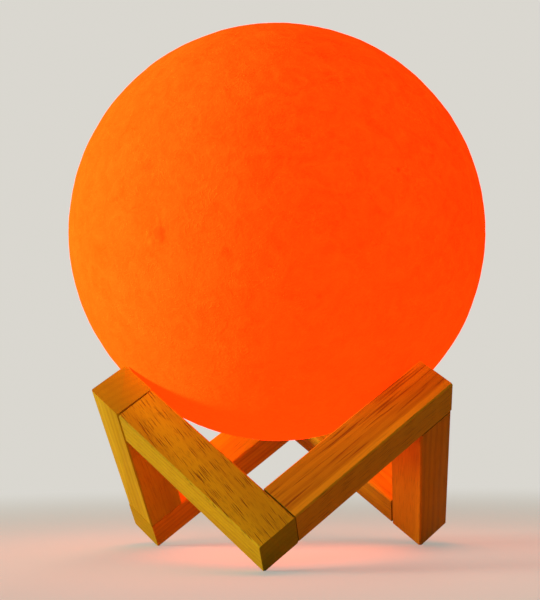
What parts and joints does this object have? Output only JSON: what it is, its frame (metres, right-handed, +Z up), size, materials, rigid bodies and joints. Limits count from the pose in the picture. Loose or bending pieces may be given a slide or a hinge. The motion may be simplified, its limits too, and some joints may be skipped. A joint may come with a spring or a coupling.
{
  "type": "moon lamp",
  "caption": "Glowing moon globe with a twist-in light unit, resting on a ring of square beech sticks that stands on its corners.",
  "frame": {"origin": "on the table, under the middle of the moon", "axes": "+Z up, the front foot of the stand towards -Y, the charging port towards +Y"},
  "size_m": [0.15, 0.15, 0.1891],
  "materials": {
    "beech": "fine sanded, bare",
    "moon_glow": "printed, matte, lit from inside",
    "milky_plastic": "moulded, satin",
    "button_white": "polished",
    "black_plastic": "moulded",
    "chip_black": "moulded epoxy",
    "board_green": "solder mask",
    "board_white": "white coated",
    "lamp_chip": "resin filled",
    "clear_plastic": "polished",
    "dome_white": "milky, satin",
    "pin_steel": "plain",
    "screw_steel": "plated",
    "port_steel": "drawn",
    "cell_foil": "foil pouch",
    "foam_grey": "foam",
    "lead_red": "insulation"
  },
  "bodies": {
    "stand": {"stick_front_left": "beech", "stick_front_right": "beech", "stick_right": "beech", "stick_back_right": "beech", "stick_back_left": "beech", "stick_left": "beech", "joint_pins": "pin_steel"},
    "moon": {"moon_shell": "moon_glow", "collar_ring": "milky_plastic"},
    "light_unit": {"base_housing": "milky_plastic", "base_cap": "milky_plastic", "cap_screws": "screw_steel", "push_switch": "black_plastic", "control_board": "board_green", "board_chips": "chip_black", "charging_port": "port_steel", "port_tongue": "black_plastic", "indicator_led": "lamp_chip", "indicator_lens": "clear_plastic", "board_screws": "screw_steel", "battery_cell": "cell_foil", "battery_pad": "foam_grey", "battery_socket": "milky_plastic", "battery_leads": "lead_red", "led_board": "board_white", "led_chips": "lamp_chip", "led_board_screws": "screw_steel", "led_leads": "lead_red", "ir_receiver": "chip_black", "diffuser_dome": "dome_white"},
    "button": {"button_cap": "button_white", "switch_plunger": "black_plastic"}
  },
  "joints": [
    {"name": "moon_lift", "type": "slide", "parent": "stand", "child": "moon", "axis": [0, 0, 1], "range_m": [0, 0.08]},
    {"name": "base_twist", "type": "hinge", "parent": "moon", "child": "light_unit", "pos_m": [0, 0, 0.11405], "axis": [0, -0.342, 0.9397], "range_deg": [0, 45]},
    {"name": "button_press", "type": "slide", "parent": "light_unit", "child": "button", "axis": [0, -0.342, 0.9397], "range_m": [0, 0.0008], "stiffness_N_per_m": 600, "springref_m": -0.001}
  ]
}
